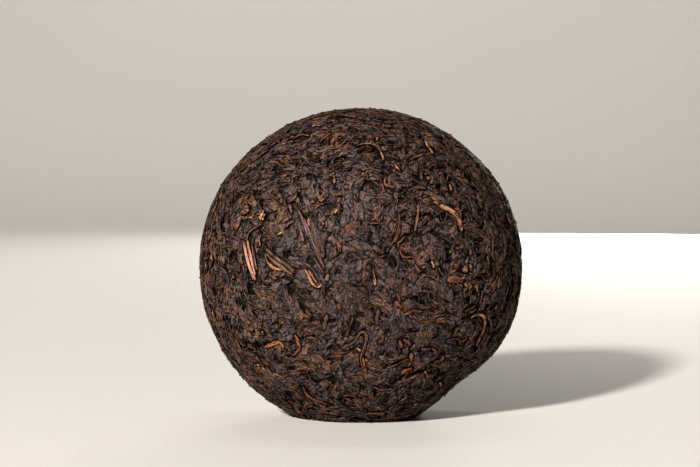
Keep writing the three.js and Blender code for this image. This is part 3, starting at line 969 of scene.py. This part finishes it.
def spread(count, rng):
    """Evenly spread directions, a little shaken."""
    level = 1 - 2 * (np.arange(count) + 0.5) / count
    turn = np.arange(count) * math.pi * (3 - math.sqrt(5))
    side = np.sqrt(1 - level**2)
    ball = np.stack([side * np.cos(turn), level, side * np.sin(turn)], axis=1)
    return unit(ball + rng.normal(0, SPREAD_SHAKE * 2 / math.sqrt(count), ball.shape))


def calm_at(place):
    """1 on the middle of the dome, where broad blades lie, falling to 0 towards its edge and behind."""
    out = round_axis(place)[0] / (ACROSS / 2)
    return np.clip((CALM_TO - out) / BLEND, 0, 1) * (place[:, 1] < 0)


def scatter_seats(count, rng, calm=0.0):
    """Places all over the body, and how far each piece is turned out of the common direction."""
    place, normal = by_direction(spread(count, rng))
    keep = (place[:, 2] > LOWEST_START) & (rng.random(count) > calm * calm_at(place))
    place, normal = place[keep], normal[keep]
    offset = rng.normal(0, STRAY, len(place))
    loose = rng.random(len(place)) < LOOSE
    return place, normal, np.where(loose, rng.uniform(-ANY_WAY, ANY_WAY, len(place)), offset)


MOSTLY_SHORT = (1.2, 1.8)  # how the lengths spread between the least and the most
TONE_PATCH, TONE_SHIFT = 12.0, 0.1  # neighbours within so many millimetres are lighter or darker together


def tone_of(place, tones, rng):
    return rng.uniform(*tones, len(place)) + TONE_SHIFT * noise(place, TONE_PATCH)


def scatter(name, count, seed, material, length, width, thick, height, tones,
            bend=0.3, wander=0.16, steps=7, calm=0.0, **extra):
    """Rolls spread over the whole body. length, width and the other pairs are the least and the most."""
    rng = np.random.default_rng(seed)
    place, normal, offset = scatter_seats(count, rng, calm)
    count = len(place)
    lengths = length[0] + (length[1] - length[0]) * rng.beta(*MOSTLY_SHORT, count)
    lines = walk(place, normal, offset, lengths, rng.normal(0, bend, count), wander, steps, rng)
    roll = (rng.normal(0, 0.14, count), rng.normal(0, 0.4, count))
    heights = rng.uniform(*height, (count, 1)) - LONG_CLEARANCE * under_long_pieces(lines[0])
    points, faces, carried, lie, edge = strips(
        *lines, rng.uniform(*width, count), rng.uniform(*thick, count), heights, roll, rng, **extra
    )
    leaf = leaf_values(tone_of(place, tones, rng), rng, edge)
    make_piece(name, points, faces, material, carried, lie, leaf)


charcoal = leaf_material(
    "charcoal_leaf", (36, 27, 27), (62, 49, 48), (92, 73, 69), (114, 80, 57), warm_share=0.8,
)
umber = leaf_material("umber_leaf", (42, 30, 27), (74, 54, 47), (110, 80, 67), (124, 87, 60), warm_share=0.7)
rust = leaf_material("rust_leaf", (56, 33, 25), (108, 67, 48), (160, 103, 74), (158, 90, 52), warm_share=0.8)

# Lengths, widths and thicknesses in millimetres. height is where the top of a leaf lies over the smooth body.
ROLLED = dict(length=(5.0, 15.0), width=(0.9, 2.2), thick=(0.6, 1.1), height=(-0.5, 0.08), rough=0.16)
scatter("charcoal_leaves", 1500, 11, charcoal, tones=(0.3, 0.6), sides=7, **ROLLED)
scatter("umber_leaves", 900, 13, umber, tones=(0.25, 0.65), sides=7, calm=0.3, **ROLLED)
SLIM = dict(length=(3.0, 11.0), width=(0.5, 1.1), thick=(0.5, 0.8), height=(-0.45, 0.1), rough=0.16, calm=0.6)
scatter("charcoal_slivers", 1600, 12, charcoal, tones=(0.2, 0.7), **SLIM)
scatter("umber_slivers", 1000, 15, umber, tones=(0.2, 0.7), **SLIM)
scatter("rust_leaves", 520, 14, rust, tones=(0.0, 0.7), **SLIM)

# Curled strands lie on top of the others, most of them away from the middle of the dome.
STRAND = dict(
    length=(4.5, 13.0), width=(0.7, 1.3), thick=(0.6, 0.9), height=(-0.08, 0.12), rough=0.14, calm=0.6,
    bend=1.5, wander=0.3, steps=10, sides=6,
)
scatter("charcoal_strands", 560, 16, charcoal, tones=(0.4, 0.75), **STRAND)
scatter("umber_strands", 360, 17, umber, tones=(0.3, 0.75), **STRAND)

# Small torn tips have come loose at one end and stand up a little.
TIP = dict(
    length=(1.4, 4.5), width=(0.35, 0.7), thick=(0.25, 0.45), height=(-0.08, 0.1), rough=0.22, calm=0.92,
    bend=0.6, lift=0.65, steps=5, sides=5, tuck=0.1,
)
scatter("charcoal_tips", 620, 18, charcoal, tones=(0.3, 0.7), **TIP)
scatter("rust_tips", 480, 19, rust, tones=(0.1, 0.7), **TIP)

# ---------------------------------------------------------------------------------------------------
# The threads: leaf veins, thin stalks and narrow edges of leaf, brown and bent. They tore off when the
# tea was rolled, and lie caught between the rolls.

THREAD = dict(
    length=(2.0, 8.0), width=(0.35, 0.7), thick=(0.35, 0.6), height=(-0.2, 0.12), bend=0.9, calm=0.65,
)
scatter("umber_threads", 1150, 21, umber, tones=(0.3, 1.0), sides=4, **THREAD)
scatter("rust_threads", 850, 22, rust, tones=(0.1, 0.9), sides=4, **THREAD)

# ---------------------------------------------------------------------------------------------------
# The flat pieces: broken leaf blades that were pressed flat and wrinkled, thin, with ragged outlines
# whose edges go down between the rolls around them.

FLAKE_SECTORS = 14
RING_REACH = np.array([0.45, 0.8, 0.92, 1.0])
RING_DROP = np.array([0.0, 0.02, 0.12, 0.7])
RING_EDGE = np.array([0.0, 0.5, 1.0, 1.0])
FLAKE_RINGS = len(RING_REACH)
RAGGED, CURL, CRUMPLE = 0.17, 0.05, 0.02
BROADER = 0.45  # on the middle of the dome, as a share
ROOT_DEPTH, ROOT_LIE = 1.3, 1.4  # where a flake is closed, out of sight under its middle


def flakes(name, count, seed, material, half_length, half_width, height, tones):
    rng = np.random.default_rng(seed)
    place, normal, offset = scatter_seats(count, rng)
    count = len(place)
    along = heading_at(place, normal, offset)
    across = np.cross(along, normal)
    sector = 2 * math.pi * np.arange(FLAKE_SECTORS) / FLAKE_SECTORS
    ragged = np.exp(rng.normal(0, RAGGED, (count, FLAKE_SECTORS)))
    long = rng.uniform(*half_length, (count, 1))
    wide = rng.uniform(*half_width, (count, 1))
    broad = (1 + BROADER * calm_at(place))[:, None]
    long, wide = long * broad, wide * broad
    reach = np.append(0, np.repeat(RING_REACH, FLAKE_SECTORS))
    drop = np.append(0, np.repeat(RING_DROP, FLAKE_SECTORS))
    x, y = (
        np.concatenate([np.zeros((count, 1))] + [outline] * FLAKE_RINGS, axis=1) * reach
        for outline in (wide * ragged * np.cos(sector), long * ragged * np.sin(sector))
    )
    foot, up = nearest(place[:, None] + across[:, None] * x[..., None] + along[:, None] * y[..., None])
    curl = rng.normal(0, CURL, (2, count, 1)) * np.stack([x / wide, y / long])
    curl = curl + rng.normal(0, CRUMPLE, x.shape)
    level = rng.uniform(*height, (count, 1)) - LONG_CLEARANCE * under_long_pieces(foot)
    tall = press(level + curl.sum(axis=0) - drop)
    top = stand(foot + up * (tall + lump(foot))[..., None])
    under = stand(place + normal * (lump(place) - ROOT_DEPTH)[:, None])[:, None]
    points = np.concatenate([top, under], axis=1)
    carried = top + up * (ENVELOPE - tall)[..., None]
    carried = np.concatenate([carried, carried[:, :1]], axis=1).reshape(-1, 3)
    each = points.shape[1]
    lie = np.stack([y + rng.uniform(0, OWN_STREAKS, (count, 1)), x, ENVELOPE - tall], axis=-1)
    lie = np.concatenate([lie, lie[:, :1]], axis=1).reshape(-1, 3)
    lie[each - 1::each, 2] = ROOT_LIE
    edge = np.tile(np.concatenate([[0], np.repeat(RING_EDGE, FLAKE_SECTORS), [1]]), count)
    leaf = leaf_values(tone_of(place, tones, rng), rng, edge)
    faces = faces_of(count, FLAKE_RINGS, FLAKE_SECTORS)
    make_piece(name, points.reshape(-1, 3), faces, material, carried, lie, leaf)


slate = leaf_material(
    "slate_leaf", (44, 34, 34), (67, 54, 53), (90, 73, 71), (108, 81, 60),
    streaks=0.9, drawn_out=0.45, warm_share=0.75,
)
russet = leaf_material(
    "russet_leaf", (48, 33, 30), (80, 57, 51), (110, 79, 68), (120, 86, 60),
    streaks=1.0, drawn_out=0.4, warm_share=0.8,
)
flakes("slate_flakes", 1150, 41, slate, (1.8, 4.6), (1.2, 2.6), (-0.45, 0.06), (0.35, 0.65))
flakes("slate_flakes_over", 700, 43, slate, (1.2, 3.2), (0.8, 1.8), (-0.45, 0.08), (0.3, 0.7))
flakes("russet_flakes", 520, 42, russet, (1.2, 3.6), (0.8, 1.9), (-0.45, 0.06), (0.2, 0.65))

# ---------------------------------------------------------------------------------------------------
# The small buds and grains: young leaf tips with pale golden down, and the crumbs of them. The press
# has flattened them like the rest.

BUD = dict(length=(1.5, 5.0), width=(0.6, 1.2), thick=(0.5, 0.8), height=(-0.2, 0.12), calm=0.5)
scatter("golden_buds", 150, 31, gold, tones=(0.0, 0.8), **BUD)
CRUMB = dict(BUD, length=(0.7, 2.0), width=(0.3, 0.7), rough=0.5)
scatter("golden_crumbs", 320, 32, gold, tones=(-0.3, 0.5), **CRUMB)

# ---------------------------------------------------------------------------------------------------
# The painted shade between the leaves: a leaf is painted darkest where it passes under its neighbours.
# Each point's depth is taken here from the tops of the leaves close to it.

CELL = 0.3  # millimetres
CELLS_ACROSS, FIRST_CELL = 1000, -400
NEIGHBOUR_FADE = 0.25  # a neighbouring cell counts less the farther it is


def cell_of(points):
    step = np.floor(points / CELL).astype(np.int64) - FIRST_CELL
    return (step[..., 0] * CELLS_ACROSS + step[..., 1]) * CELLS_ACROSS + step[..., 2]


numbers, depths = [], []
for _, polygons, carried, lie in laid:
    for faces in polygons:
        corner, low = carried[faces], lie[faces, 2]
        middle, middle_low = corner.mean(axis=1, keepdims=True), low.mean(axis=1, keepdims=True)
        beside, beside_low = np.roll(corner, 1, axis=1), np.roll(low, 1, axis=1)
        for seen, seen_low in (
            (corner, low), (middle, middle_low),
            ((corner + middle) / 2, (low + middle_low) / 2), ((corner + beside) / 2, (low + beside_low) / 2),
        ):
            numbers.append(cell_of(seen).ravel())
            depths.append(seen_low.ravel())
numbers, depths = np.concatenate(numbers), np.concatenate(depths)
order = np.argsort(numbers)
numbers, depths = numbers[order], depths[order]
first = np.flatnonzero(np.diff(numbers, prepend=-1))
cells, tops = numbers[first], np.minimum.reduceat(depths, first)
total, weight = np.zeros(len(cells)), np.zeros(len(cells))
for i in (-1, 0, 1):
    for j in (-1, 0, 1):
        for k in (-1, 0, 1):
            wanted = cells + (i * CELLS_ACROSS + j) * CELLS_ACROSS + k
            at = np.minimum(np.searchsorted(cells, wanted), len(cells) - 1)
            share = (cells[at] == wanted) * math.exp(-NEIGHBOUR_FADE * (i * i + j * j + k * k))
            total += share * tops[at]
            weight += share
around = total / weight
for mesh, polygons, carried, lie in laid:
    lie[:, 2] -= around[np.searchsorted(cells, cell_of(carried))]
    mesh.attributes["lie"].data.foreach_set("vector", lie.astype(np.float32).ravel())
